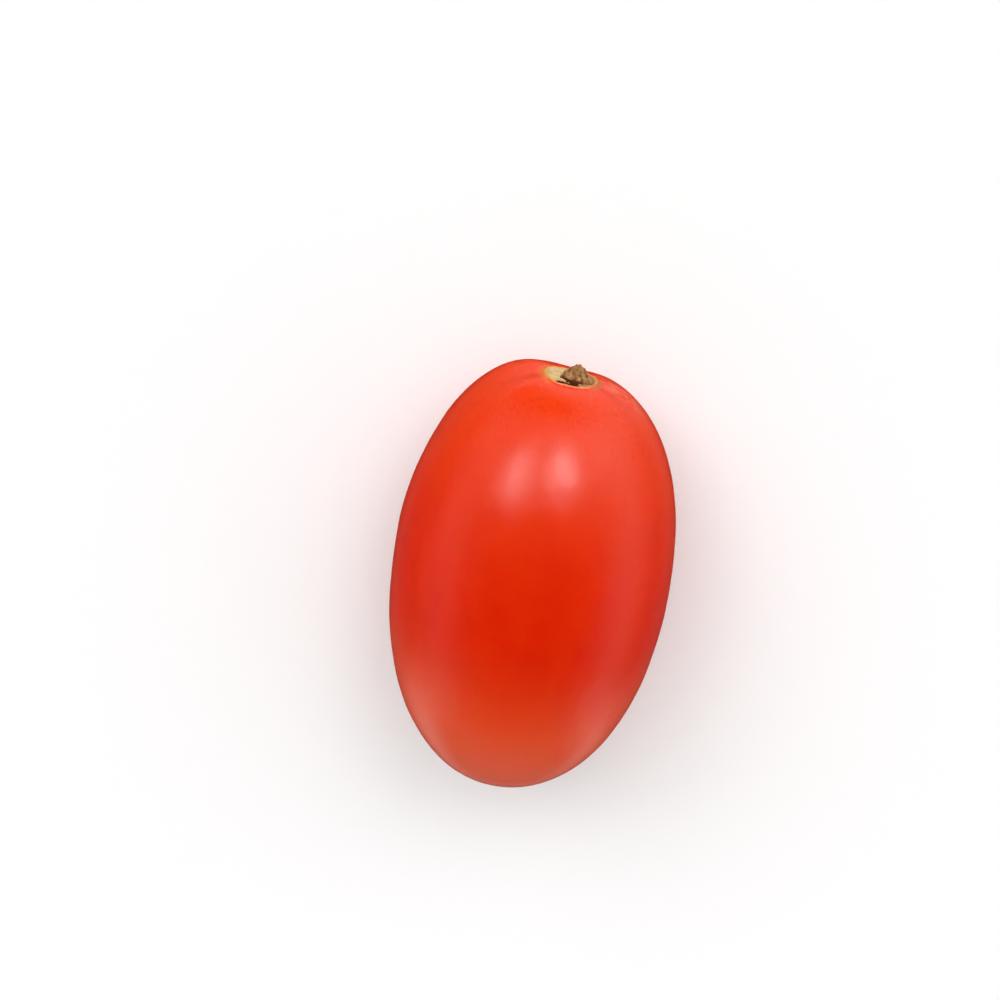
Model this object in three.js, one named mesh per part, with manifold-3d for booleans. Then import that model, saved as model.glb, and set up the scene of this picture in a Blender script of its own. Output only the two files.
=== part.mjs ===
// A ripe plum tomato, picked, lying on its side on a small flat spot.
//
// Lengths are millimetres. +X runs from the blossom end to the stem end and +Z is up.
// The origin is under the middle of the tomato's box, on the surface that it lies on.
//
// The fruit is one solid: a blunt ovoid with four faint lobes, drawn in at the stem end
// to a folded shoulder with a corky, sunken scar. The dry stub of the fruit stalk is a
// piece of its own. It stands in a socket in the scar.

import * as THREE from 'three';
import { mergeVertices } from 'three/addons/utils/BufferGeometryUtils.js';
import Module from 'manifold-3d';

const wasm = await Module();
wasm.setup();

// Overall size
const WIDTH = 50;
const STEM_HALF_LENGTH = 37.7;
const BLOSSOM_HALF_LENGTH = 41.7;
const FLAT_SPOT_DEPTH = 0.45;

// How full each half is: 2 is an ellipse, and a higher number is blunter
const STEM_FULLNESS = 2.23;
const BLOSSOM_FULLNESS = 2.15;

// Where the stem axis leaves the middle of the fruit, a little off the long axis
const STEM_DIRECTION = new THREE.Vector3(39, -1.45, 2.65).normalize();

// Cross-section: four lobes with furrows above and below, and one slightly fuller side
const LOBE_DEPTH = 0.009;
const FULLER_SIDE = 0.004;

// Broad, faint rises and hollows of the skin, each round the line from the middle of the fruit
const SWELLINGS = [
  { towards: new THREE.Vector3(36, 12, -4), height: 0.5, reach: 9 },
  { towards: new THREE.Vector3(21, 22, 0), height: -0.35, reach: 10 },
  { towards: new THREE.Vector3(-5, -25, 0), height: 0.25, reach: 14 },
];

// The shoulder round the stem scar: furrows, and ridges where the depth is negative
const DIMPLE_DEPTH = 0.9;
const DIMPLE_REACH = 6.5;
const FOLD_REACH = 8;
const FOLDS = [
  { angle: 9, depth: 0.4, width: 12 },
  { angle: 33, depth: -0.15, width: 12 },
  { angle: 105, depth: 0.1, width: 20 },
  { angle: 167, depth: 0.25, width: 9 },
  { angle: 195, depth: -0.15, width: 12 },
  { angle: 268, depth: 0.75, width: 34 },
  { angle: 335, depth: -0.45, width: 18 },
];

// The corky scar, with its gap in front of the stub, and the socket that the stub stands in
const SCAR_RADIUS = 4.75;
const SCAR_LIP_HEIGHT = 0.28;
const SCAR_LIP_WIDTH = 0.45;
const SCAR_FLOOR_DEPTH = 0.35;
const GAP_DEPTH = 0.55;
const GAP_INSET = 1.3;
const GAP_WIDTH = 0.75;
const GAP_ANGLE = 82;
const GAP_SPREAD = 48;
const SOCKET_HALF_WIDTH = 3.15;
const SOCKET_HALF_DEPTH = 2.5;
const SOCKET_SINK = 1;
const SOCKET_OFFSET = 0.9;

// The blossom end: a low nub on a faint taper
const NUB_HEIGHT = 0.7;
const NUB_REACH = 1.7;
const TAPER_HEIGHT = 0.45;
const TAPER_REACH = 5;

// The stub: its outline as [radius, height] from its base up, and how far it is pulled out of round
const STUB_CLEARANCE = 0.3;
const STUB_OUTLINE = [
  [0, 0],
  [2.2, 0],
  [2.2, 0.75],
  [2.05, 1.15],
  [1.85, 1.6],
  [1.6, 2.1],
  [1.3, 2.6],
  [0.85, 2.98],
  [0.4, 3.12],
  [0, 3.05],
];
const STUB_FOOT_STRETCH = 0.3;
const STUB_LEAN = 0.6;
const STUB_TEAR = 0.13;
const STUB_SLANT = 0.35;

// Mesh fineness: bands of rings, each up to an angle from the stem axis in degrees
const FRUIT_SEGMENTS = 76;
const FRUIT_BANDS = [
  { end: 9.6, rings: 15 },
  { end: 22.5, rings: 7 },
  { end: 168, rings: 26 },
  { end: 176, rings: 4 },
  { end: 180, rings: 4 },
];
const STUB_SEGMENTS = 34;

const UP = new THREE.Vector3(0, 1, 0);
const TURN_TO_STEM = new THREE.Quaternion().setFromUnitVectors(UP, STEM_DIRECTION);
const BLOSSOM_DIRECTION = STEM_DIRECTION.clone().negate();

const skin = new THREE.MeshStandardMaterial({ color: '#de2f0c', roughness: 0.34, metalness: 0 });
const driedStalk = new THREE.MeshStandardMaterial({ color: '#8a6238', roughness: 0.95, metalness: 0 });

/** A hump of height 1 at distance 0 that fades out past the given reach. */
function hump(distance, reach) {
  return Math.exp(-((distance / reach) ** 2));
}

/** The angle round the stem axis, in degrees from +Y towards +Z. */
function angleRoundStem(direction) {
  return THREE.MathUtils.radToDeg(
    Math.atan2(direction.z - STEM_DIRECTION.z, direction.y - STEM_DIRECTION.y),
  );
}

/** The distance from the middle of the fruit to a plain ovoid with the fruit's size and fullness. */
function ovoidRadius(direction) {
  const towardsStem = 0.5 + 0.5 * Math.tanh(4 * direction.x);
  const halfLength = THREE.MathUtils.lerp(BLOSSOM_HALF_LENGTH, STEM_HALF_LENGTH, towardsStem);
  const fullness = THREE.MathUtils.lerp(BLOSSOM_FULLNESS, STEM_FULLNESS, towardsStem);
  const across = Math.hypot(direction.y, direction.z) / (WIDTH / 2);
  const along = Math.abs(direction.x) / halfLength;
  return (across ** fullness + along ** fullness) ** (-1 / fullness);
}

/** How much the lobes swell the cross-section, as a share of its radius. */
function lobeSwell({ y, z }) {
  const fourLobes = y ** 4 - 6 * y * y * z * z + z ** 4;
  const fullerSide = y ** 3 - 3 * y * z * z;
  return FULLER_SIDE * fullerSide - LOBE_DEPTH * fourLobes;
}

/** The turn from one angle to another, from -180 to 180 degrees. */
function turnBetween(from, to) {
  return THREE.MathUtils.euclideanModulo(to - from + 180, 360) - 180;
}

/** How deep the folds of the shoulder are, at a distance from the scar and an angle round it. */
function foldDepth(distance, angle) {
  const nearness = (distance / FOLD_REACH) ** 2;
  const envelope = nearness * Math.exp(1 - nearness);
  let depth = 0;
  for (const fold of FOLDS) {
    depth += fold.depth * hump(turnBetween(fold.angle, angle), fold.width);
  }
  return envelope * depth;
}

/** How far the scar's rim is from the stem axis, at an angle round it: a blunt, uneven oval. */
function scarRim(angle) {
  const turn = THREE.MathUtils.degToRad(angle);
  const uneven = 0.07 * Math.sin(turn) + 0.05 * Math.cos(2 * turn) + 0.02 * Math.cos(5 * turn + 1);
  return SCAR_RADIUS * (1 + uneven);
}

/** The height of the scar's lip over the shoulder, of its sunken floor and of the gap in the floor. */
function scarRelief(distance, angle) {
  const rim = scarRim(angle);
  const inside = 1 - THREE.MathUtils.smoothstep(distance, rim - 1, rim - 0.1);
  const lip = SCAR_LIP_HEIGHT * hump(distance - rim, SCAR_LIP_WIDTH);
  const gap = hump(rim - GAP_INSET - distance, GAP_WIDTH) * hump(turnBetween(GAP_ANGLE, angle), GAP_SPREAD);
  return lip - SCAR_FLOOR_DEPTH * inside - GAP_DEPTH * gap;
}

/** The height of the broad rises and hollows of the skin, in a direction. */
function swelling(direction) {
  let height = 0;
  for (const rise of SWELLINGS) {
    const distance = direction.distanceTo(rise.towards.clone().normalize()) * STEM_HALF_LENGTH;
    height += rise.height * hump(distance, rise.reach);
  }
  return height;
}

/** The distance from the middle of the fruit to its skin, in a direction. */
function fruitRadius(direction) {
  const fromStem = direction.distanceTo(STEM_DIRECTION) * STEM_HALF_LENGTH;
  const fromBlossom = direction.distanceTo(BLOSSOM_DIRECTION) * BLOSSOM_HALF_LENGTH;
  const angle = angleRoundStem(direction);
  const body = ovoidRadius(direction) * (1 + lobeSwell(direction)) + swelling(direction);
  const shoulder = DIMPLE_DEPTH * hump(fromStem, DIMPLE_REACH) + foldDepth(fromStem, angle);
  const nub = NUB_HEIGHT * hump(fromBlossom, NUB_REACH) + TAPER_HEIGHT * hump(fromBlossom, TAPER_REACH);
  return body - shoulder + scarRelief(fromStem, angle) + nub;
}

/** A unit ball with its poles on the stem axis and its rings close together at both ends. */
function ballOnStemAxis() {
  const profile = [new THREE.Vector2(0, 1)];
  let start = 0;
  for (const { end, rings } of FRUIT_BANDS) {
    for (let i = 1; i <= rings; i++) {
      const polar = THREE.MathUtils.degToRad(THREE.MathUtils.lerp(start, end, i / rings));
      profile.push(new THREE.Vector2(polar < Math.PI ? Math.sin(polar) : 0, Math.cos(polar)));
    }
    start = end;
  }
  return new THREE.LatheGeometry(profile.reverse(), FRUIT_SEGMENTS).applyQuaternion(TURN_TO_STEM);
}

/** Moves each vertex of a geometry to where a function of its position says. */
function reshape(geometry, moved) {
  const position = geometry.getAttribute('position');
  const point = new THREE.Vector3();
  for (let i = 0; i < position.count; i++) {
    point.fromBufferAttribute(position, i);
    moved(point);
    position.setXYZ(i, point.x, point.y, point.z);
  }
  return geometry;
}

/** A closed geometry as a solid that can be joined and cut. */
function solidFrom(geometry) {
  const bare = geometry.clone();
  bare.deleteAttribute('normal');
  bare.deleteAttribute('uv');
  const merged = mergeVertices(bare, 1e-4);
  const corners = merged.index.array;
  const kept = [];
  for (let i = 0; i < corners.length; i += 3) {
    const [a, b, c] = corners.slice(i, i + 3);
    if (a !== b && b !== c && c !== a) kept.push(a, b, c);
  }
  return new wasm.Manifold(new wasm.Mesh({
    numProp: 3,
    vertProperties: merged.getAttribute('position').array,
    triVerts: new Uint32Array(kept),
  }));
}

/** A solid as a geometry that can be drawn. */
function geometryFrom(solid) {
  const mesh = solid.getMesh();
  const geometry = new THREE.BufferGeometry();
  geometry.setAttribute('position', new THREE.BufferAttribute(mesh.vertProperties, 3));
  geometry.setIndex(new THREE.BufferAttribute(mesh.triVerts, 1));
  geometry.computeVertexNormals();
  return geometry;
}

/** The height of the middle of the fruit over the surface that it lies on. */
function middleHeight() {
  return fruitRadius(new THREE.Vector3(0, 0, -1)) - FLAT_SPOT_DEPTH;
}

/** The distance from the middle of the fruit to the bottom of the stub's socket. */
function socketFloor() {
  return fruitRadius(STEM_DIRECTION) - SOCKET_SINK;
}

/** Everything under the surface that the fruit lies on, which its flat spot is cut by. */
function belowTheSurface() {
  const depth = 10;
  const block = new THREE.BoxGeometry(4 * WIDTH, 4 * WIDTH, depth);
  return block.translate(0, 0, -middleHeight() - depth / 2);
}

/** The socket in the scar, as the solid that is cut away. */
function stubSocket() {
  const depth = SOCKET_SINK + 3;
  const socket = new THREE.CylinderGeometry(1, 1, depth, STUB_SEGMENTS);
  socket.scale(SOCKET_HALF_WIDTH, 1, SOCKET_HALF_DEPTH);
  return socket.translate(SOCKET_OFFSET, socketFloor() + depth / 2, 0).applyQuaternion(TURN_TO_STEM);
}

/** The whole fruit about its own middle: skin, shoulder, scar, blossom end and flat spot. */
function makeFruit() {
  const body = reshape(ballOnStemAxis(), (point) => {
    point.normalize();
    point.multiplyScalar(fruitRadius(point));
  });
  const solid = solidFrom(body)
    .subtract(solidFrom(stubSocket()))
    .subtract(solidFrom(belowTheSurface()));
  const fruit = new THREE.Mesh(geometryFrom(solid), skin);
  fruit.name = 'fruit';
  return fruit;
}

/** The dry stub of the stalk, standing on its own base: a torn cone that leans on a broad foot. */
function makeStub() {
  const height = Math.max(...STUB_OUTLINE.map(([, level]) => level));
  const buried = SOCKET_SINK - STUB_CLEARANCE;
  const outline = STUB_OUTLINE.map(([radius, level]) => new THREE.Vector2(radius, level));
  const cone = new THREE.LatheGeometry(outline, STUB_SEGMENTS);
  reshape(cone, (point) => {
    const rise = THREE.MathUtils.clamp((point.y - buried) / (height - buried), 0, 1);
    const foot = 1 - THREE.MathUtils.smoothstep(rise, 0, 0.5);
    const turn = Math.atan2(point.z, point.x);
    const tear = 1 + STUB_TEAR * (Math.cos(3 * turn + 0.6) + Math.cos(5 * turn + 2)) * Math.min(1, 3 * rise);
    point.y += STUB_SLANT * rise * Math.cos(2 * turn + 2.2) * Math.hypot(point.x, point.z);
    point.x *= tear * (1 + STUB_FOOT_STRETCH * foot);
    point.x += SOCKET_OFFSET * foot + STUB_LEAN * rise;
    point.z *= tear;
  });
  const stub = new THREE.Mesh(geometryFrom(solidFrom(cone)), driedStalk);
  stub.name = 'stem_stub';
  stub.quaternion.copy(TURN_TO_STEM);
  stub.position.set(0, socketFloor() + STUB_CLEARANCE, 0).applyQuaternion(TURN_TO_STEM);
  return stub;
}

const tomato = new THREE.Group();
tomato.name = 'plum_tomato';
tomato.add(makeFruit(), makeStub());
const middle = new THREE.Box3().setFromObject(tomato, true).getCenter(new THREE.Vector3());
tomato.position.set(-middle.x, -middle.y, middleHeight());

export default tomato;
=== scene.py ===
"""A ripe plum tomato, picked, lying on its side on a pale studio floor.

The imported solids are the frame. Two finer pieces stand for them: the fruit, with its folded
shoulder and corky scar, and the dry, torn stub of its stalk. Sizes are in millimetres, about the
middle of the fruit, as in the part's own source. The meshes are in metres, where the frame is.
"""

import logging
import math
from dataclasses import dataclass
from enum import Enum

import bmesh
import bpy
from mathutils import Matrix, Vector, noise


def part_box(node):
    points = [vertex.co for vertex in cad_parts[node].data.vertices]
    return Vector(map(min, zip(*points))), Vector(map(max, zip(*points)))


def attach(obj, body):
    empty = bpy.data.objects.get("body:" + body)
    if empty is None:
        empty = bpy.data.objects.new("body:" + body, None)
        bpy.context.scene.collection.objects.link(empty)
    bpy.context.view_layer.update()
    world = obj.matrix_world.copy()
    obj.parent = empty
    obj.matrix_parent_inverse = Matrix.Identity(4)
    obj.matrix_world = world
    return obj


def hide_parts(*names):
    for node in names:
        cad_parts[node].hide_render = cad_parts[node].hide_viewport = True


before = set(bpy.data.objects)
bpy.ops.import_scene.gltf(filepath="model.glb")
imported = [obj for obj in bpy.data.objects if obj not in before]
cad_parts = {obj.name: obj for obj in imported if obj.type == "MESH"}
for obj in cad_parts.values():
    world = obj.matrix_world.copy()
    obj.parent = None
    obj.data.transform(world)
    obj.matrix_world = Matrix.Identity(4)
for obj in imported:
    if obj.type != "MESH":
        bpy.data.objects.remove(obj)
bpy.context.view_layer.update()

MM = 0.001

Colour = tuple[float, float, float]

log = logging.getLogger("tomato")


class Node(Enum):
    """The solids of the frame that finer pieces stand for."""

    FRUIT = "fruit"
    STUB = "stem_stub"


class Slot(Enum):
    """The record's material slots."""

    SKIN = "ripe_skin"
    STALK = "dried_stalk"


class Mark(Enum):
    """The vector attributes that the meshes carry for their finishes."""

    STEM = "stem_map"
    SCAR = "scar_map"
    STUB = "stub_map"


def hump(distance: float, reach: float) -> float:
    """A hump of height 1 at distance 0 that fades out past the given reach."""
    return math.exp(-((distance / reach) ** 2))


def smoothstep(value: float, low: float, high: float) -> float:
    """0 below low and 1 above high, with a smooth rise between."""
    share = min(1.0, max(0.0, (value - low) / (high - low)))
    return share * share * (3 - 2 * share)


def turn_between(start: float, end: float) -> float:
    """The turn from one angle to another, from -180 to 180 degrees."""
    return (end - start + 180) % 360 - 180


def ruffle(place: Vector, size: float, octaves: int = 1) -> float:
    """Smooth noise from about -1 to 1.

    Args:
        place: where it is read, in millimetres.
        size: the size of its features, in millimetres.
        octaves: how many finer layers it has.

    Returns:
        The noise at that place.
    """
    total = 0.0
    for octave in range(octaves):
        total += noise.noise(place * (2**octave / size)) / 2**octave
    return total


def srgb(red: int, green: int, blue: int) -> Colour:
    """A colour as it is seen on a screen, with channels from 0 to 255.

    Args:
        red: its red.
        green: its green.
        blue: its blue.

    Returns:
        The linear colour that a shader takes.
    """
    def linear(level: int) -> float:
        """One channel of it."""
        share = level / 255
        return share / 12.92 if share <= 0.04045 else ((share + 0.055) / 1.055) ** 2.4

    return linear(red), linear(green), linear(blue)


@dataclass(frozen=True)
class Fold:
    """A furrow that runs out from the scar over the shoulder, or a ridge if its depth is negative."""

    angle: float
    depth: float
    width: float

    def at(self, angle: float) -> float:
        """Its depth at an angle round the scar."""
        return self.depth * hump(turn_between(self.angle, angle), self.width)


@dataclass(frozen=True)
class Swelling:
    """A broad, faint rise of the skin round a line from the middle, or a hollow."""

    towards: tuple[float, float, float]
    height: float
    reach: float


@dataclass(frozen=True)
class FruitForm:
    """The fruit's form, as the distance from its middle to its skin in each direction.

    Angles round the scar are degrees from +Y, which is its left, towards +Z, which is its front.
    """

    # The body: an ovoid along X, fuller at the stem end, with a flat spot to lie on.
    width: float = 50
    stem_half_length: float = 37.7
    blossom_half_length: float = 41.7
    stem_fullness: float = 2.23
    blossom_fullness: float = 2.15
    change_sharpness: float = 4
    flat_spot_depth: float = 0.45
    flat_spot_edge: float = 0.25
    stem_axis: tuple[float, float, float] = (39, -1.45, 2.65)
    lobe_depth: float = 0.009
    fuller_side: float = 0.004
    swellings: tuple[Swelling, ...] = (
        Swelling((36, 12, -4), 0.5, 9),
        Swelling((21, 22, 0), -0.35, 10),
        Swelling((-5, -25, 0), 0.25, 14),
        Swelling((25, -3.1, 20.5), -0.05, 1.6),
    )
    waviness: float = 0.1
    wave_size: float = 14

    # The shoulder: a dimple with folds near the scar, and longer, lower ribs past them.
    dimple_depth: float = 0.9
    dimple_reach: float = 6.5
    fold_reach: float = 8
    folds: tuple[Fold, ...] = (
        Fold(9, 0.2, 16),
        Fold(33, -0.08, 14),
        Fold(105, 0.1, 20),
        Fold(167, 0.25, 9),
        Fold(195, -0.15, 12),
        Fold(268, 0.75, 34),
        Fold(335, -0.45, 18),
    )
    rib_reach: float = 15
    ribs: tuple[Fold, ...] = (
        Fold(12, 0.06, 14),
        Fold(33, -0.12, 14),
        Fold(58, 0.1, 12),
        Fold(148, -0.1, 10),
    )

    # Fine creases, which run out from the scar's right side and end on the shoulder.
    crease_depth: float = 0.11
    crease_pitch: float = 0.95
    crease_slope: float = 0.12
    crease_wander: float = 0.45
    crease_start: tuple[float, float] = (4.4, 6)
    crease_end: tuple[float, float] = (11, 16)
    crease_side: float = -0.2
    crease_breadth: float = 2.2

    # The scar: its rim, the lip along it, and a sunken cork floor with cracks.
    scar_radius: float = 4.75
    rim_shift: float = 0.07
    rim_oval: float = 0.05
    rim_wobble: float = 0.02
    rim_dents: tuple[Fold, ...] = (Fold(235, 0.14, 75), Fold(326, 0.15, 31), Fold(135, 0.09, 28))
    lip_height: float = 0.28
    lip_width: float = 0.45
    lip_unevenness: float = 0.5
    lip_wave_size: float = 1.3
    scar_floor_depth: float = 0.35
    cork_roughness: float = 0.07
    cork_grain: float = 0.45
    crack_depth: float = 0.22
    crack_size: float = 0.9
    crack_spread: float = 1.5
    crack_length: float = 3
    crack_thinness: float = 12

    # The gap in front of the stub: how far in front its back edge is, where it ends at its right
    # and left, and the bends past which the edge turns forwards. Its edges are soft.
    gap_depth: float = 0.75
    gap_back: float = 1.55
    gap_ends: tuple[float, float] = (-2.7, 4.6)
    gap_bends: tuple[float, float] = (-1, 2.1)
    gap_slope: float = 1.05
    gap_raggedness: float = 0.25
    gap_rag_size: float = 1.1
    gap_end_softness: float = 0.6
    gap_back_edge: tuple[float, float] = (-0.1, 0.35)
    gap_rim_edge: tuple[float, float] = (0.1, 0.4)

    # The blossom end: a small dry tip on a low taper.
    nub_height: float = 0.7
    nub_reach: float = 1.7
    taper_height: float = 0.45
    taper_reach: float = 5

    def stem(self) -> Vector:
        """The direction of the stem axis."""
        return Vector(self.stem_axis).normalized()

    def from_stem(self, direction: Vector) -> float:
        """How far a place on the skin is from the stem axis, roughly along the skin."""
        return (direction - self.stem()).length * self.stem_half_length

    def from_blossom(self, direction: Vector) -> float:
        """How far a place on the skin is from the blossom end, roughly along the skin."""
        return (direction + self.stem()).length * self.blossom_half_length

    def angle(self, direction: Vector) -> float:
        """The angle round the stem axis, in degrees from +Y towards +Z."""
        stem = self.stem()
        return math.degrees(math.atan2(direction.z - stem.z, direction.y - stem.y))

    def ovoid(self, direction: Vector) -> float:
        """The distance to a plain ovoid with the fruit's size and fullness.

        Args:
            direction: a unit vector from the middle.

        Returns:
            The distance from the middle in millimetres.
        """
        share = 0.5 + 0.5 * math.tanh(self.change_sharpness * direction.x)
        half = self.blossom_half_length + (self.stem_half_length - self.blossom_half_length) * share
        fullness = self.blossom_fullness + (self.stem_fullness - self.blossom_fullness) * share
        across = math.hypot(direction.y, direction.z) / (self.width / 2)
        along = abs(direction.x) / half
        return (across**fullness + along**fullness) ** (-1 / fullness)

    def lobes(self, direction: Vector) -> float:
        """How much the lobes swell the cross-section.

        Args:
            direction: a unit vector from the middle.

        Returns:
            A share of the radius.
        """
        y, z = direction.y, direction.z
        four = y**4 - 6 * y * y * z * z + z**4
        fuller = y**3 - 3 * y * z * z
        return self.fuller_side * fuller - self.lobe_depth * four

    def swelling(self, direction: Vector) -> float:
        """The height of the broad rises and hollows, and of the skin's faint waves.

        Args:
            direction: a unit vector from the middle.

        Returns:
            The height in millimetres.
        """
        height = self.waviness * ruffle(direction * self.width, self.wave_size, 2)
        for rise in self.swellings:
            distance = (direction - Vector(rise.towards).normalized()).length * self.stem_half_length
            height += rise.height * hump(distance, rise.reach)
        return height

    def fold_depth(self, distance: float, angle: float) -> float:
        """How deep the folds and ribs are at a place on the shoulder.

        Args:
            distance: how far the place is from the stem axis.
            angle: the angle round the stem axis.

        Returns:
            The depth in millimetres, which is negative on a ridge.
        """
        depth = 0.0
        for folds, reach in ((self.folds, self.fold_reach), (self.ribs, self.rib_reach)):
            near = (distance / reach) ** 2
            share = near * math.exp(1 - near)
            depth += share * sum(fold.at(angle) for fold in folds)
        return depth

    def creases(self, distance: float, angle: float) -> float:
        """How much of a fine crease is at a place. They wander, and break off here and there.

        Args:
            distance: how far the place is from the stem axis.
            angle: the angle round the stem axis.

        Returns:
            1 in the bottom of a crease and 0 beside it.
        """
        turn = math.radians(angle)
        out = -distance * math.cos(turn)
        beside = distance * math.sin(turn)
        wander = self.crease_wander * ruffle(Vector((out, beside, 0)), 4, 2)
        unbroken = smoothstep(ruffle(Vector((0.6 * out, 1.5 * beside, 9)), 2), -0.3, 0.3)
        window = smoothstep(out, *self.crease_start) * (1 - smoothstep(out, *self.crease_end))
        window *= hump(beside - self.crease_side, self.crease_breadth)
        across = (beside + self.crease_slope * out + wander) / self.crease_pitch
        line = 0.5 + 0.5 * math.cos(2 * math.pi * across)
        return window * unbroken * line**2

    def rim(self, angle: float) -> float:
        """How far the scar's rim is from the stem axis.

        Args:
            angle: the angle round the stem axis.

        Returns:
            The distance in millimetres.
        """
        turn = math.radians(angle)
        uneven = self.rim_shift * math.sin(turn) + self.rim_oval * math.cos(2 * turn)
        uneven += self.rim_wobble * math.cos(5 * turn + 1)
        return self.scar_radius * (1 + uneven - sum(dent.at(angle) for dent in self.rim_dents))

    def gap(self, inside: float, distance: float, angle: float) -> float:
        """How much of the gap in front of the stub is at a place.

        Args:
            inside: how far inside the scar's rim the place is.
            distance: how far it is from the stem axis.
            angle: the angle round the stem axis.

        Returns:
            1 in the gap and 0 beside it.
        """
        turn = math.radians(angle)
        left, front = distance * math.cos(turn), distance * math.sin(turn)
        right_end, left_end = self.gap_ends
        right_bend, left_bend = self.gap_bends
        back = self.gap_back + self.gap_slope * max(0.0, left - left_bend, right_bend - left)
        back += self.gap_raggedness * ruffle(Vector((left, front, 0)), self.gap_rag_size, 2)
        soft = self.gap_end_softness
        across = smoothstep(left, right_end - soft / 2, right_end + soft / 2)
        across *= 1 - smoothstep(left, left_end - soft, left_end)
        deep = smoothstep(front - back, *self.gap_back_edge) * smoothstep(inside, *self.gap_rim_edge)
        return deep * across

    def crack(self, inside: float, distance: float, angle: float) -> float:
        """How much of a crack in the cork is at a place. The cracks run in towards the stub.

        Args:
            inside: how far inside the scar's rim the place is.
            distance: how far it is from the stem axis.
            angle: the angle round the stem axis.

        Returns:
            1 in the bottom of a crack and 0 beside it.
        """
        turn = math.radians(angle)
        wide = self.crack_spread
        spread = Vector((wide * math.cos(turn), wide * math.sin(turn), distance / self.crack_length))
        line = max(0.0, 1 - self.crack_thinness * abs(ruffle(spread, self.crack_size)))
        return line * smoothstep(inside, 0.3, 0.9)

    def scar_relief(self, distance: float, angle: float) -> float:
        """The height of the scar's lip, and of its sunken, cracked cork floor with its gap.

        Args:
            distance: how far the place is from the stem axis.
            angle: the angle round the stem axis.

        Returns:
            The height over the shoulder in millimetres.
        """
        inside = self.rim(angle) - distance
        if inside < -4 * self.lip_width:
            return 0.0
        turn = math.radians(angle)
        place = Vector((distance * math.cos(turn), distance * math.sin(turn), 0))
        uneven = 1 + self.lip_unevenness * ruffle(place, self.lip_wave_size)
        lip = self.lip_height * uneven * hump(inside, self.lip_width)
        cork = self.cork_roughness * ruffle(place, self.cork_grain, 2) * smoothstep(inside, -0.1, 0.3)
        sunk = self.scar_floor_depth * smoothstep(inside, 0.1, 1)
        sunk += self.gap_depth * self.gap(inside, distance, angle)
        return lip + cork - sunk - self.crack_depth * self.crack(inside, distance, angle)

    def radius(self, direction: Vector) -> float:
        """The distance from the middle of the fruit to its skin.

        Args:
            direction: a unit vector from the middle.

        Returns:
            The distance in millimetres.
        """
        distance = self.from_stem(direction)
        angle = self.angle(direction)
        from_blossom = self.from_blossom(direction)
        body = self.ovoid(direction) * (1 + self.lobes(direction)) + self.swelling(direction)
        shoulder = self.dimple_depth * hump(distance, self.dimple_reach)
        shoulder += self.fold_depth(distance, angle)
        shoulder += self.crease_depth * self.creases(distance, angle)
        nub = self.nub_height * hump(from_blossom, self.nub_reach)
        nub += self.taper_height * hump(from_blossom, self.taper_reach)
        return body - shoulder + self.scar_relief(distance, angle) + nub

    def middle_height(self) -> float:
        """How high the middle of the fruit is over the surface that it lies on."""
        return self.radius(Vector((0, 0, -1))) - self.flat_spot_depth


class Field:
    """A value that varies over a surface: a node's output with arithmetic."""

    def __init__(self, shader: "Shader", socket: bpy.types.NodeSocket) -> None:
        """Wraps an output socket of a shader's node."""
        self.shader = shader
        self.socket = socket

    def __add__(self, other: "Number") -> "Field":
        """Their sum."""
        return self.shader.math("ADD", self, other)

    __radd__ = __add__

    def __sub__(self, other: "Number") -> "Field":
        """This less the other."""
        return self.shader.math("SUBTRACT", self, other)

    def __rsub__(self, other: "Number") -> "Field":
        """The other less this."""
        return self.shader.math("SUBTRACT", other, self)

    def __mul__(self, other: "Number") -> "Field":
        """Their product."""
        return self.shader.math("MULTIPLY", self, other)

    __rmul__ = __mul__

    def __truediv__(self, other: "Number") -> "Field":
        """This divided by the other."""
        return self.shader.math("DIVIDE", self, other)

    def __rtruediv__(self, other: "Number") -> "Field":
        """The other divided by this."""
        return self.shader.math("DIVIDE", other, self)

    def __pow__(self, other: "Number") -> "Field":
        """This to the power of the other."""
        return self.shader.math("POWER", self, other)

    def smooth(self, low: float, high: float) -> "Field":
        """A smooth rise from 0 to 1, or a smooth fall from 1 to 0 where high is the lower one.

        Args:
            low: the value at which it is 0, as it is beyond.
            high: the value at which it is 1, as it is beyond.

        Returns:
            The rise or fall, from 0 to 1.
        """
        lowest, highest = (0.0, 1.0) if low < high else (1.0, 0.0)
        settings = {"interpolation_type": "SMOOTHSTEP"}
        inputs = {"Value": self, "From Min": min(low, high), "From Max": max(low, high)}
        inputs |= {"To Min": lowest, "To Max": highest}
        return self.shader.value("ShaderNodeMapRange", settings, inputs, "Result")

    def hump(self, middle: float, reach: float) -> "Field":
        """A hump of height 1 round a value that fades out past the given reach."""
        scaled = (self - middle) / reach
        return self.shader.math("POWER", math.exp(-1), scaled * scaled)


Number = float | Field


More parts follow.
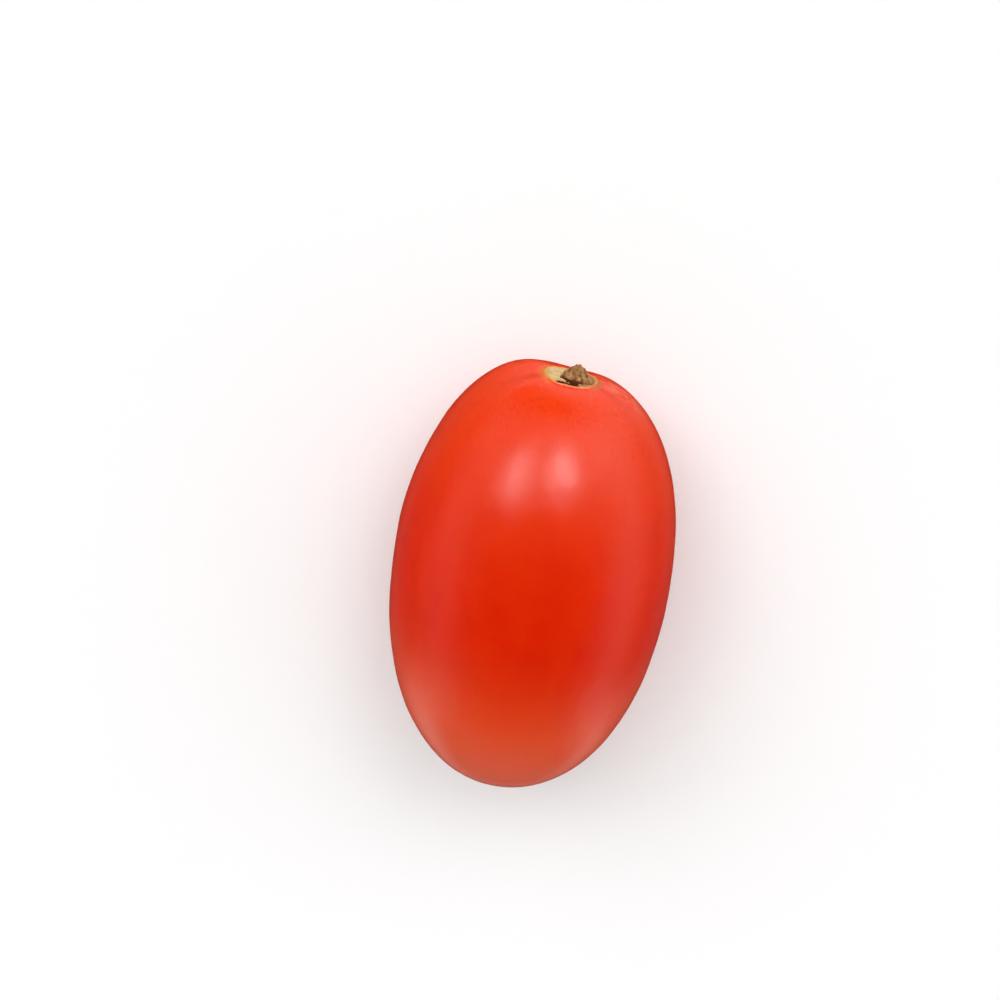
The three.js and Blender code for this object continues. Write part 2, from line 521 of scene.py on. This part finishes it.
class Shader:
    """The nodes of a material, or of the world, that are being made."""

    def __init__(self, owner: bpy.types.Material | bpy.types.World, place: str) -> None:
        """Starts with no nodes but the coordinates.

        Args:
            owner: what the nodes belong to.
            place: the coordinates that the textures read.
        """
        owner.use_nodes = True
        self.owner = owner
        self.tree = owner.node_tree
        self.tree.nodes.clear()
        self.place = self.node("ShaderNodeTexCoord").outputs[place]

    @classmethod
    def of_material(cls, name: str) -> "Shader":
        """Starts a material whose textures read the place on the piece."""
        return cls(bpy.data.materials.new(name), "Object")

    def node(
        self, kind: str, settings: dict | None = None, inputs: dict | None = None
    ) -> bpy.types.Node:
        """Adds a node.

        Args:
            kind: the node's type.
            settings: its own settings, which are set first.
            inputs: a value or a link for each named or numbered socket.

        Returns:
            The node.
        """
        node = self.tree.nodes.new(kind)
        for key, value in (settings or {}).items():
            setattr(node, key, value)
        for key, value in (inputs or {}).items():
            socket = node.inputs[key]
            if isinstance(value, Field):
                self.tree.links.new(value.socket, socket)
            elif isinstance(value, bpy.types.NodeSocket):
                self.tree.links.new(value, socket)
            elif isinstance(value, tuple) and len(value) == 3 and socket.type == "RGBA":
                socket.default_value = (*value, 1.0)
            else:
                socket.default_value = value
        return node

    def value(self, kind: str, settings: dict, inputs: dict, output: str | int = 0) -> Field:
        """Adds a node and gives one of its outputs."""
        return Field(self, self.node(kind, settings, inputs).outputs[output])

    def math(self, operation: str, *values: Number) -> Field:
        """Arithmetic on numbers."""
        return self.value("ShaderNodeMath", {"operation": operation}, dict(enumerate(values)))

    def mix(self, share: Number, start: "Colour | Field", end: "Colour | Field") -> Field:
        """A colour between two others."""
        settings = {"data_type": "RGBA", "clamp_factor": True}
        return self.value("ShaderNodeMix", settings, {0: share, 6: start, 7: end}, 2)

    def marks(self, mark: Mark) -> tuple[Field, Field, Field]:
        """The three numbers that the mesh carries under a name."""
        settings = {"attribute_name": mark.value, "attribute_type": "GEOMETRY"}
        return self.parts(self.node("ShaderNodeAttribute", settings).outputs["Vector"])

    def stretched(self, scale: tuple[float, float, float]) -> bpy.types.NodeSocket:
        """The place on the piece, stretched along its axes."""
        return self.node("ShaderNodeMapping", {}, {"Vector": self.place, "Scale": scale}).outputs[0]

    def noise(self, size: float, detail: float = 2, place: bpy.types.NodeSocket | None = None) -> Field:
        """Smooth noise from 0 to 1 with features of a size in millimetres."""
        inputs = {"Vector": place or self.place, "Scale": 1 / (size * MM), "Detail": detail}
        return self.value("ShaderNodeTexNoise", {}, inputs, "Fac")

    def dots(self, pitch: float, radius: float, share: float) -> Field:
        """Small round dots, strewn unevenly.

        Args:
            pitch: the mean distance between dots in millimetres.
            radius: the radius of a dot, as a share of the pitch.
            share: how many of them are there, from 0 to 1.

        Returns:
            1 in the middle of a dot and 0 off it.
        """
        inputs = {"Vector": self.place, "Scale": 1 / (pitch * MM)}
        cells = self.node("ShaderNodeTexVoronoi", {}, inputs)
        distance = Field(self, cells.outputs["Distance"])
        draw = self.node("ShaderNodeSeparateColor", {}, {0: cells.outputs["Color"]})
        kept = Field(self, draw.outputs[0]).smooth(share, share - 0.1)
        return distance.smooth(radius, radius * 0.35) * kept

    def bump(self, height: Field, depth: float, normal: Field | None = None) -> Field:
        """A normal that is roughened by a height from 0 to 1.

        Args:
            height: the height.
            depth: what a height of 1 stands for in millimetres.
            normal: a normal that it adds to.

        Returns:
            The normal.
        """
        inputs = {"Height": height, "Distance": depth * MM, "Strength": 1.0}
        if normal:
            inputs["Normal"] = normal
        return self.value("ShaderNodeBump", {}, inputs)

    def parts(self, vector: bpy.types.NodeSocket) -> tuple[Field, Field, Field]:
        """The three numbers of a vector."""
        split = self.node("ShaderNodeSeparateXYZ", {}, {0: vector})
        return tuple(Field(self, split.outputs[axis]) for axis in range(3))

    def surface(self, inputs: dict) -> bpy.types.NodeSocket:
        """A Principled surface."""
        return self.node("ShaderNodeBsdfPrincipled", {}, inputs).outputs["BSDF"]

    def finish(self, surface: bpy.types.NodeSocket) -> bpy.types.Material:
        """Ends the material with a surface and gives it back."""
        self.node("ShaderNodeOutputMaterial", {}, {"Surface": surface})
        return self.owner


@dataclass(frozen=True)
class SkinFinish:
    """Taut, waxy red skin that turns orange on the shoulder, with the cork of the scar.

    Its relief is a few layers of noise: the size, how many finer layers each has, and the depth.
    """

    red: Colour = srgb(211, 37, 3)
    deep_red: Colour = srgb(202, 27, 3)
    shoulder: Colour = srgb(213, 58, 8)
    blossom: Colour = srgb(226, 78, 20)
    # Dark specks; this colour also paints shade into the crease lines.
    speck: Colour = srgb(196, 28, 2)
    pale_speck: Colour = srgb(230, 98, 50)
    # Painted sheen: pale pink on the ridges between the fine creases.
    ridge_sheen: Colour = srgb(212, 112, 90)
    halo: Colour = srgb(208, 114, 42)
    green: Colour = srgb(176, 146, 60)
    cream: Colour = srgb(200, 173, 124)
    tan: Colour = srgb(146, 106, 64)
    # Painted shade: the colour that darkens the gap in front of the stub and the cracks in the cork.
    dark: Colour = srgb(76, 28, 2)
    lip: Colour = srgb(206, 136, 88)
    roughness: float = 0.12
    reflectance: float = 1.45
    glow_depth: float = 1.2
    glow_radius: Colour = (1.0, 0.18, 0.06)
    cork_roughness: float = 0.9
    cork_reflectance: float = 1.2
    mottle_size: float = 8
    streak_size: float = 5
    patch_size: float = 3
    fleck_size: float = 0.6
    net_size: float = 0.8
    speck_pitch: float = 2.1
    speck_radius: float = 0.11
    rag_size: float = 0.6
    ridge_size: float = 1.6
    grain_size: float = 0.8
    gloss_patch_size: float = 2.5
    relief: tuple[tuple[float, float, float], ...] = ((5, 1, 0.06), (1.8, 2, 0.035), (0.5, 2, 0.006))
    cork_relief: tuple[float, float, float] = (0.22, 3, 0.12)

    def skin_colour(self, shader: Shader, from_stem: Field, from_blossom: Field, front: Field) -> Field:
        """The skin's own colour: red, mottled, more orange at both ends, with fine specks.

        Args:
            shader: the material that it is for.
            from_stem: the distance from the stem axis in millimetres.
            from_blossom: the distance from the blossom end in millimetres.
            front: how far a place near the stem is to the front of the scar in millimetres.

        Returns:
            The colour.
        """
        mottle = shader.noise(self.mottle_size, 3).smooth(0.35, 0.7)
        streaks = shader.noise(self.streak_size, 2, shader.stretched((0.12, 1, 1))).smooth(0.4, 0.75)
        colour = shader.mix(mottle * 0.5, self.red, self.deep_red)
        colour = shader.mix(streaks * 0.08, colour, self.blossom)
        colour = shader.mix(from_stem.smooth(52, 14) * 0.85, colour, self.shoulder)
        colour = shader.mix(from_blossom.smooth(54, 22), colour, self.blossom)
        patches = shader.noise(self.patch_size, 2).smooth(0.4, 0.6)
        patches = patches * from_stem.smooth(34, 9) * from_stem.smooth(6, 8.5) * front.smooth(1, 5)
        flecks = shader.noise(self.fleck_size, 2, shader.stretched((1, 1, 0.6))).smooth(0.48, 0.66)
        colour = shader.mix(flecks * patches * 0.4, colour, self.speck)
        net = shader.noise(self.net_size, 2).smooth(0.56, 0.68) * from_stem.smooth(17, 9)
        colour = shader.mix(net * 0.18, colour, self.pale_speck)
        dots = shader.dots(self.speck_pitch, self.speck_radius, 0.4)
        return shader.mix(dots * 0.2, colour, self.pale_speck)

    def cork_colour(self, shader: Shader, inside: Field, gap: Field, left: Field) -> Field:
        """The scar's colour: cream cork, tan right of the stub, green at the left, and painted shade
        that darkens the gap and the cracks.

        Args:
            shader: the material that it is for.
            inside: how far inside the scar's rim a place is in millimetres.
            gap: how much of the gap, or of a crack, is there, where painted shade darkens the cork.
            left: how far to the left of the stem axis it is in millimetres.

        Returns:
            The colour.
        """
        grain = shader.noise(self.grain_size, 3)
        colour = shader.mix(grain.smooth(0.45, 0.7) * 0.35, self.cream, self.tan)
        colour = shader.mix(left.smooth(0.5, -2.5) * 0.85, colour, self.tan)
        colour = shader.mix(left.smooth(3.6, 4.7) * 0.4, colour, self.green)
        colour = shader.mix(inside.smooth(0.45, 0.15) * 0.85, colour, self.lip)
        # Painted shade: the gap in front of the stub and the cracks are darkened.
        return shader.mix(gap.smooth(0.2, 0.55), colour, self.dark)

    def rim_colour(
        self, shader: Shader, skin: Field, ragged: Field, left: Field, front: Field
    ) -> Field:
        """The skin's colour with the scar's edge on it: halo, dry rim, pale lip and green edge.

        Args:
            shader: the material that it is for.
            skin: the skin's own colour.
            ragged: how far inside the scar's ragged edge a place is in millimetres.
            left: how far to the left of the stem axis it is in millimetres.
            front: how far to the front of it.

        Returns:
            The colour.
        """
        halo = left.smooth(2.5, 4.6) + left.smooth(-3, -4.5) * 0.5
        skin = shader.mix(ragged.hump(-0.2, 0.9) * halo * 0.8, skin, self.halo)
        skin = shader.mix(ragged.hump(-0.4, 0.5) * left.smooth(-3.6, -4.4) * 0.6, skin, self.tan)
        skin = shader.mix(ragged.smooth(-0.45, -0.2) * front.smooth(2.2, 3.4) * 0.8, skin, self.lip)
        return shader.mix(ragged.hump(0, 0.3) * left.smooth(3, 4.8) * 0.7, skin, self.green)

    def crease_colour(
        self, shader: Shader, skin: Field, crease: Field, left: Field, front: Field
    ) -> Field:
        """The skin's colour with the fine creases on it: painted pale sheen on the ridges between them,
        and painted shade in the crease lines.

        Args:
            shader: the material that it is for.
            skin: the skin's colour without them.
            crease: how much of a crease is at a place.
            left: how far to the left of the stem axis it is in millimetres.
            front: how far to the front of it.

        Returns:
            The colour.
        """
        # Painted sheen: the ridges between the creases are paled pink.
        beside = left.smooth(-4.5, -7) * left.smooth(-17, -11) * front.hump(-0.9, 2.2)
        ridge = crease.smooth(0.5, 0.1) * shader.noise(self.ridge_size, 2).smooth(0.25, 0.6)
        skin = shader.mix(beside * ridge * 0.6, skin, self.ridge_sheen)
        # Painted shade: the crease lines are darkened.
        return shader.mix(crease.smooth(0.35, 0.9) * 0.35, skin, self.speck)

    def normal(self, shader: Shader, bare: Field) -> Field:
        """The skin's fine unevenness, with the grain of the cork where it is bare.

        Args:
            shader: the material that it is for.
            bare: how bare the cork is, from 0 to 1.

        Returns:
            The normal.
        """
        normal = None
        for size, detail, depth in self.relief:
            normal = shader.bump(shader.noise(size, detail), depth, normal)
        size, detail, depth = self.cork_relief
        return shader.bump(shader.noise(size, detail) * bare, depth, normal)

    def material(self) -> bpy.types.Material:
        """The fruit's material.

        Returns:
            One material for skin, scar and blossom end.
        """
        shader = Shader.of_material("ripe_skin")
        left, front, crease = shader.marks(Mark.STEM)
        from_stem = (left**2.0 + front**2.0) ** 0.5
        # The scar's gap value carries the painted shade of the gap and the cracks.
        inside, gap, from_blossom = shader.marks(Mark.SCAR)
        ragged = inside + (shader.noise(self.rag_size, 2) - 0.5) * 0.4
        skin = self.skin_colour(shader, from_stem, from_blossom, front)
        skin = self.rim_colour(shader, skin, ragged, left, front)
        skin = self.crease_colour(shader, skin, crease, left, front)
        cork = self.cork_colour(shader, inside, gap, left)
        bare = ragged.smooth(-0.05, 0.2)
        colour = shader.mix(bare, skin, cork)
        tip = from_blossom.smooth(0.9, 0.35)
        colour = shader.mix(tip * 0.85, colour, self.tan)
        look = {"Base Color": colour, "Normal": self.normal(shader, bare)}
        waxy = {
            "Roughness": self.roughness + (shader.noise(self.gloss_patch_size, 3) - 0.5) * 0.06,
            "IOR": self.reflectance,
            "Subsurface Weight": 1.0,
            "Subsurface Radius": self.glow_radius,
            "Subsurface Scale": self.glow_depth * MM,
        }
        matt = {"Roughness": self.cork_roughness, "IOR": self.cork_reflectance}
        dry = shader.math("MAXIMUM", bare, tip)
        inputs = {0: dry, 1: shader.surface(look | waxy), 2: shader.surface(look | matt)}
        return shader.finish(shader.node("ShaderNodeMixShader", {}, inputs).outputs[0])


@dataclass(frozen=True)
class StalkFinish:
    """Dry, fibrous brown stalk, with painted shade darkening its foot."""

    light: Colour = srgb(170, 128, 84)
    brown: Colour = srgb(136, 94, 58)
    # Dark brown of fibres and stains, also used as painted shade on the foot.
    dark: Colour = srgb(78, 40, 16)
    roughness: float = 0.92
    reflectance: float = 1.2
    fibre_size: float = 0.45
    fibre_depth: float = 0.15
    patch_size: float = 1.3
    stain_size: float = 0.9

    def material(self) -> bpy.types.Material:
        """The stub's material: light and dark patches, fibres along it, a seam and a shaded foot.

        Returns:
            The material, which reads how high a place is over the foot of the stub.
        """
        shader = Shader.of_material("dried_stalk")
        height, front, left = shader.marks(Mark.STUB)
        fibres = shader.noise(self.fibre_size, 3, shader.stretched((0.35, 1, 1)))
        patches = shader.noise(self.patch_size, 2)
        stains = shader.noise(self.stain_size, 1)
        colour = shader.mix(patches.smooth(0.4, 0.62), self.brown, self.light)
        colour = shader.mix(fibres.smooth(0.5, 0.66) * 0.5, colour, self.dark)
        colour = shader.mix(stains.smooth(0.58, 0.68) * 0.7, colour, self.dark)
        foot = height + (shader.noise(0.6, 1) - 0.5) * 0.5
        seam = (left + height * 0.5 + 0.4).hump(0, 0.3) * front.smooth(0, 0.6)
        colour = shader.mix(seam * 0.45, colour, self.dark)
        # Painted shade: the front of the foot, low in the scar, is darkened.
        shade = foot.smooth(0.6, 0.25) * front.smooth(-0.5, 0.8) * left.smooth(-2.4, -1.8)
        colour = shader.mix(shade, colour, self.dark)
        look = {"Base Color": colour, "Normal": shader.bump(fibres, self.fibre_depth)}
        matt = {"Roughness": self.roughness, "IOR": self.reflectance}
        return shader.finish(shader.surface(look | matt))


def finished_piece(
    name: str, mesh: bmesh.types.BMesh, material: bpy.types.Material
) -> bpy.types.Object:
    """Makes a smooth-shaded object of a mesh, which rides on the frame's only body.

    Args:
        name: the piece's name.
        mesh: its mesh, in metres where the frame is.
        material: its finish.

    Returns:
        The object, at the origin.
    """
    bmesh.ops.recalc_face_normals(mesh, faces=mesh.faces)
    data = bpy.data.meshes.new(name)
    mesh.to_mesh(data)
    mesh.free()
    data.shade_smooth()
    data.materials.append(material)
    piece = bpy.data.objects.new(name, data)
    bpy.context.scene.collection.objects.link(piece)
    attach(piece, "root")
    return piece


@dataclass
class Fruit:
    """The fruit: skin, shoulder, scar, blossom end and flat spot in one closed mesh.

    Its bands are where each band of rings ends, in degrees from the stem, and how many it has.
    """

    form: FruitForm
    finish: SkinFinish
    crack_shade: float = 0.4
    segments: int = 320
    bands: tuple[tuple[float, int], ...] = ((9.6, 52), (24, 30), (165, 92), (176, 16), (180, 10))

    def ball(self) -> bmesh.types.BMesh:
        """A unit ball spun round the stem axis, with its rings close together at both ends.

        Returns:
            The ball's mesh.
        """
        mesh = bmesh.new()
        last = mesh.verts.new((1, 0, 0))
        start = 0.0
        for end, rings in self.bands:
            for ring in range(1, rings + 1):
                polar = math.radians(start + (end - start) * ring / rings)
                vertex = mesh.verts.new((math.cos(polar), math.sin(polar), 0))
                mesh.edges.new((last, vertex))
                last = vertex
            start = end
        geometry = [*mesh.verts, *mesh.edges]
        bmesh.ops.spin(
            mesh, geom=geometry, cent=(0, 0, 0), axis=(1, 0, 0), angle=2 * math.pi,
            steps=self.segments, use_merge=True, use_duplicate=False,
        )
        bmesh.ops.remove_doubles(mesh, verts=mesh.verts, dist=1e-6)
        turn = Vector((1, 0, 0)).rotation_difference(self.form.stem()).to_matrix()
        bmesh.ops.rotate(mesh, verts=mesh.verts, cent=(0, 0, 0), matrix=turn)
        return mesh

    def pressed(self, height: float) -> float:
        """A height over the surface that the fruit lies on, once the fruit is pressed flat there.

        Args:
            height: the height that the skin would have, which may be under the surface.

        Returns:
            The height in millimetres, never under 0.
        """
        edge = self.form.flat_spot_edge
        if height > edge:
            return height
        return max(0.0, height + edge) ** 2 / (4 * edge)

    def mesh(self) -> bmesh.types.BMesh:
        """The fruit's skin, with the marks for its finish.

        Returns:
            The mesh in millimetres, about the fruit's own middle.
        """
        mesh = self.ball()
        stem_map = mesh.verts.layers.float_vector.new(Mark.STEM.value)
        scar_map = mesh.verts.layers.float_vector.new(Mark.SCAR.value)
        floor = -self.form.middle_height()
        for vertex in mesh.verts:
            direction = vertex.co.normalized()
            distance = self.form.from_stem(direction)
            angle = self.form.angle(direction)
            turn = math.radians(angle)
            inside = self.form.rim(angle) - distance
            # The gap and crack mask, which the finish uses to paint shade into them.
            crack = self.crack_shade * self.form.crack(inside, distance, angle)
            gap = max(self.form.gap(inside, distance, angle), crack)
            crease = self.form.creases(distance, angle)
            vertex[stem_map] = (distance * math.cos(turn), distance * math.sin(turn), crease)
            vertex[scar_map] = (inside, gap, self.form.from_blossom(direction))
            vertex.co = direction * self.form.radius(direction)
            if direction.z < 0:
                vertex.co.z = floor + self.pressed(vertex.co.z - floor)
        return mesh

    def middle(self, mesh: bmesh.types.BMesh) -> Vector:
        """Where the frame has the middle of the fruit, in millimetres.

        Args:
            mesh: the fruit's mesh about its own middle.

        Returns:
            The place at which the mesh fills the solid's box.
        """
        low, high = (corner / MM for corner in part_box(Node.FRUIT.value))
        left = min(vertex.co.y for vertex in mesh.verts)
        right = max(vertex.co.y for vertex in mesh.verts)
        tip = min(vertex.co.x for vertex in mesh.verts)
        return Vector((low.x - tip, (low.y + high.y - left - right) / 2, self.form.middle_height()))

    def build(self) -> tuple[bpy.types.Object, Vector]:
        """Builds and dresses the fruit.

        Returns:
            The piece, and where its middle is in millimetres.
        """
        mesh = self.mesh()
        middle = self.middle(mesh)
        bmesh.ops.translate(mesh, verts=mesh.verts, vec=middle)
        bmesh.ops.scale(mesh, verts=mesh.verts, vec=(MM, MM, MM))
        piece = finished_piece("ripe_fruit", mesh, self.finish.material())
        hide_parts(Node.FRUIT.value)
        return piece, middle


@dataclass
class Stub:
    """The dry, torn stub of the stalk, which leans on a broad foot in the scar.

    Its outline is pairs of a radius and a level, up from the end that is sunk in the fruit.
    """

    form: FruitForm
    finish: StalkFinish
    outline: tuple[tuple[float, float], ...] = (
        (0, 0), (2.2, 0), (2.2, 0.75), (2.05, 1.15), (1.85, 1.6),
        (1.6, 2.1), (1.3, 2.6), (0.85, 2.98), (0.4, 3.12), (0, 3.05),
    )
    sink: float = 1
    clearance: float = 0.3
    foot_stretch: float = 0.3
    foot_top: float = 0.5
    offset: float = 0.75
    lean: float = 0.6
    tear: float = 0.13
    slant: float = 0.35
    fibre: float = 0.12
    fibre_size: float = 0.6
    fray: float = 0.3
    fray_size: float = 0.5
    depth: float = 0.82
    setback: float = 0.25
    segments: int = 96
    cuts: int = 6

    def cone(self) -> bmesh.types.BMesh:
        """The outline spun round +X, as if the stalk stood straight on the stem end.

        Returns:
            The mesh in millimetres.
        """
        mesh = bmesh.new()
        verts = [mesh.verts.new((level, -radius, 0)) for radius, level in self.outline]
        edges = [mesh.edges.new(pair) for pair in zip(verts, verts[1:])]
        bmesh.ops.subdivide_edges(mesh, edges=edges, cuts=self.cuts)
        geometry = [*mesh.verts, *mesh.edges]
        bmesh.ops.spin(
            mesh, geom=geometry, cent=(0, 0, 0), axis=(1, 0, 0), angle=2 * math.pi,
            steps=self.segments, use_merge=True, use_duplicate=False,
        )
        bmesh.ops.remove_doubles(mesh, verts=mesh.verts, dist=1e-5)
        return mesh

    def torn(self, place: Vector) -> Vector:
        """Where a place on the plain cone goes: stretched, leaning, fibrous and torn.

        Args:
            place: the place, with +X up the stalk, -Y to the side that it leans to, and +Z in front.

        Returns:
            The new place.
        """
        level, across, front = place.x, -place.y, place.z
        height = max(level for _, level in self.outline)
        buried = self.sink - self.clearance
        rise = min(1.0, max(0.0, (level - buried) / (height - buried)))
        foot = 1 - smoothstep(rise, 0, self.foot_top)
        turn = math.atan2(front, across)
        open_air = min(1.0, 3 * rise)
        tear = 1 + self.tear * (math.cos(3 * turn + 0.6) + math.cos(5 * turn + 2)) * open_air
        spread = Vector((1.5 * math.cos(turn), 1.5 * math.sin(turn), level * 0.35))
        tear += self.fibre * ruffle(spread, self.fibre_size, 2) * open_air
        lifted = self.slant * rise * math.cos(2 * turn + 2.2) * math.hypot(across, front)
        frayed = ruffle(Vector((across, front, 0)), self.fray_size, 2)
        lifted += self.fray * frayed * smoothstep(rise, 0.5, 1)
        across = across * tear * (1 + self.foot_stretch * foot) + self.offset * foot + self.lean * rise
        return Vector((level + lifted, -across, front * tear * self.depth - self.setback * open_air))

    def build(self, middle: Vector) -> bpy.types.Object:
        """Builds and dresses the stub.

        Args:
            middle: where the middle of the fruit is, in millimetres.

        Returns:
            The piece.
        """
        mesh = self.cone()
        stub_map = mesh.verts.layers.float_vector.new(Mark.STUB.value)
        for vertex in mesh.verts:
            vertex.co = self.torn(vertex.co)
            vertex[stub_map] = (vertex.co.x - self.sink + self.clearance, vertex.co.z, vertex.co.y)
        stem = self.form.stem()
        lift = Vector((1, 0, 0)).rotation_difference(stem).to_matrix()
        base = self.form.ovoid(stem) * (1 + self.form.lobes(stem)) - self.form.dimple_depth
        base -= self.form.scar_floor_depth + self.sink - self.clearance
        bmesh.ops.transform(mesh, verts=mesh.verts, matrix=lift.to_4x4())
        bmesh.ops.translate(mesh, verts=mesh.verts, vec=middle + stem * base)
        bmesh.ops.scale(mesh, verts=mesh.verts, vec=(MM, MM, MM))
        piece = finished_piece("torn_stub", mesh, self.finish.material())
        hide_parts(Node.STUB.value)
        return piece


@dataclass(frozen=True)
class Viewpoint:
    """The camera: how the fruit stands in its square picture, measured on the photograph.

    The picture's sizes and places are pixels, from its top left corner. The lean is the turn of
    the fruit's long axis in the picture, clockwise from upright, and the tilt is how far its stem
    end comes towards the camera. Both are degrees.
    """

    picture: float = 1000
    focal_length: float = 1967
    fruit_across: float = 531.99
    fruit_down: float = 567.63
    pixels_per_mm: float = 5.5816
    lean: float = 9.55
    tilt: float = 20.5
    sensor: float = 36
    nearest: float = 0.01

    def build(self, middle: Vector) -> bpy.types.Object:
        """Makes the camera.

        Args:
            middle: where the middle of the fruit is, in millimetres.

        Returns:
            The camera, which is made the scene's own.
        """
        across = self.fruit_across - self.picture / 2
        down = self.fruit_down - self.picture / 2
        sight = Vector((across, -down, -self.focal_length))
        seen = sight / self.pixels_per_mm
        ray = sight.normalized()
        lean = math.radians(self.lean)
        tilt = math.radians(self.tilt)
        up = Vector((math.sin(lean), math.cos(lean), 0))
        flat = (up - ray * up.dot(ray)).normalized()
        along = flat * math.cos(tilt) - ray * math.sin(tilt)
        above = (-ray + along * along.dot(ray)).normalized()
        turn = Matrix((along, above.cross(along), above))
        data = bpy.data.cameras.new("camera")
        data.sensor_width = self.sensor
        data.lens = self.sensor * self.focal_length / self.picture
        data.clip_start = self.nearest
        camera = bpy.data.objects.new("camera", data)
        camera.matrix_world = Matrix.Translation((middle - turn @ seen) * MM) @ turn.to_4x4()
        bpy.context.scene.collection.objects.link(camera)
        bpy.context.scene.camera = camera
        return camera


def aim(lift: float, roll: float) -> Vector:
    """The direction with a lift towards +X and a roll from straight up towards +Y, in degrees."""
    rise, turn = math.radians(lift), math.radians(roll)
    return Vector((math.sin(rise), math.cos(rise) * math.sin(turn), math.cos(rise) * math.cos(turn)))


@dataclass(frozen=True)
class Fill:
    """Soft light from a broad part of the room, which the skin doesn't mirror.

    Its brightness is how white it makes a white card that faces it. Its angles are in degrees.
    """

    name: str
    lift: float
    roll: float
    breadth: float
    brightness: float

    def build(self) -> bpy.types.Object:
        """Makes the light.

        Returns:
            The light, which is in the scene.
        """
        data = bpy.data.lights.new(self.name, "SUN")
        data.energy = math.pi * self.brightness
        data.angle = math.radians(self.breadth)
        data.cycles.use_multiple_importance_sampling = False
        light = bpy.data.objects.new(self.name, data)
        light.matrix_world = aim(self.lift, self.roll).to_track_quat("Z", "Y").to_matrix().to_4x4()
        light.visible_glossy = False
        bpy.context.scene.collection.objects.link(light)
        return light


@dataclass(frozen=True)
class Glow:
    """A bright, soft-edged part of the room. Its angles are in degrees."""

    name: str
    lift: float
    roll: float
    rise: float
    spread: float
    brightness: float

    def shape(self, shader: Shader, lift: Field, roll: Field) -> Field:
        """How much of it is in each direction.

        Args:
            shader: the world that it is for.
            lift: the lift of the direction.
            roll: the roll of the direction.

        Returns:
            1 in its middle, fading out to 0.
        """
        turn = shader.math("WRAP", roll - self.roll, 180.0, -180.0)
        return lift.hump(self.lift, self.rise) * turn.hump(0, self.spread)


@dataclass(frozen=True)
class Studio:
    """A pale floor in a dim room with bright, soft-edged parts, and soft fill light."""

    floor_size: float = 40
    floor_colour: Colour = (0.85, 0.85, 0.85)
    bounce: Glow = Glow("red_bounce", -10, 180, 50, 60, 0.4)
    bounce_colour: Colour = srgb(226, 60, 20)
    fills: tuple[Fill, ...] = (
        Fill("key_light", 20, 0, 60, 0.19),
        Fill("back_light", 65, 0, 100, 0.1),
        Fill("left_light", 40, 80, 80, 0.22),
        Fill("right_light", 15, -75, 80, 0.13),
        Fill("front_light", -55, 0, 130, 0.23),
    )
    glows: tuple[Glow, ...] = (
        Glow("ceiling", 50, -35, 30, 105, 1.45),
        Glow("right_lamp", 39, -15, 12, 15, 5.1),
        Glow("left_lamp", 30, 30, 15, 16, 4),
        Glow("right_window", -5, -80, 40, 23, 0.65),
        Glow("left_window", -5, 70, 46, 22, 0.5),
        Glow("front_wall", -85, 0, 30, 1000, 0.5),
        Glow("right_corner", -45, -115, 10, 42, 0.7),
        Glow("left_corner", -48, 118, 11, 50, 0.75),
        Glow("back_wall", 48, 180, 18, 50, 0.7),
        Glow("back_corner", 13, -160, 16, 22, 0.48),
    )

    def floor(self) -> bpy.types.Object:
        """Makes the floor, at the height that the part rests on.

        Returns:
            The floor, which is part of the stage and not of the tomato.
        """
        mesh = bmesh.new()
        bmesh.ops.create_grid(mesh, x_segments=1, y_segments=1, size=self.floor_size / 2)
        data = bpy.data.meshes.new("floor")
        mesh.to_mesh(data)
        mesh.free()
        shader = Shader.of_material("matt_floor")
        surface = shader.surface({"Base Color": self.floor_colour, "Roughness": 1.0, "IOR": 1.0})
        data.materials.append(shader.finish(surface))
        floor = bpy.data.objects.new("floor", data)
        floor.visible_glossy = False
        bpy.context.scene.collection.objects.link(floor)
        return floor

    def world(self) -> bpy.types.World:
        """Makes the room: dark, with the glows in it.

        Returns:
            The world, which is made the scene's own.
        """
        world = bpy.data.worlds.new("studio")
        shader = Shader(world, "Generated")
        x, y, z = shader.parts(shader.place)
        roll = shader.math("ARCTAN2", y, z) * math.degrees(1)
        lift = shader.math("ARCSINE", x) * math.degrees(1)
        bounced = self.bounce.shape(shader, lift, roll)
        level = bounced * self.bounce.brightness
        for glow in self.glows:
            level += glow.shape(shader, lift, roll) * glow.brightness
        colour = shader.mix(bounced, (1, 1, 1), self.bounce_colour)
        light = shader.node("ShaderNodeBackground", {}, {"Color": colour, "Strength": level})
        shader.node("ShaderNodeOutputWorld", {}, {"Surface": light.outputs[0]})
        bpy.context.scene.world = world
        return world

    def build(self) -> None:
        """Makes the floor, the room and the fill light."""
        self.floor()
        self.world()
        for fill in self.fills:
            log.info("%s is %g degrees broad", fill.build().name, fill.breadth)
        bpy.context.scene.view_settings.view_transform = "Standard"


def main() -> None:
    """Builds the tomato, the camera and the studio."""
    logging.basicConfig(level=logging.INFO, format="%(name)s: %(message)s")
    form = FruitForm()
    fruit, middle = Fruit(form, SkinFinish()).build()
    stub = Stub(form, StalkFinish()).build(middle)
    camera = Viewpoint().build(middle)
    Studio().build()
    for piece in (fruit, stub):
        log.info("%s: %d faces", piece.name, len(piece.data.polygons))
    log.info("%s is in place", camera.name)


if __name__ == "__main__":
    main()
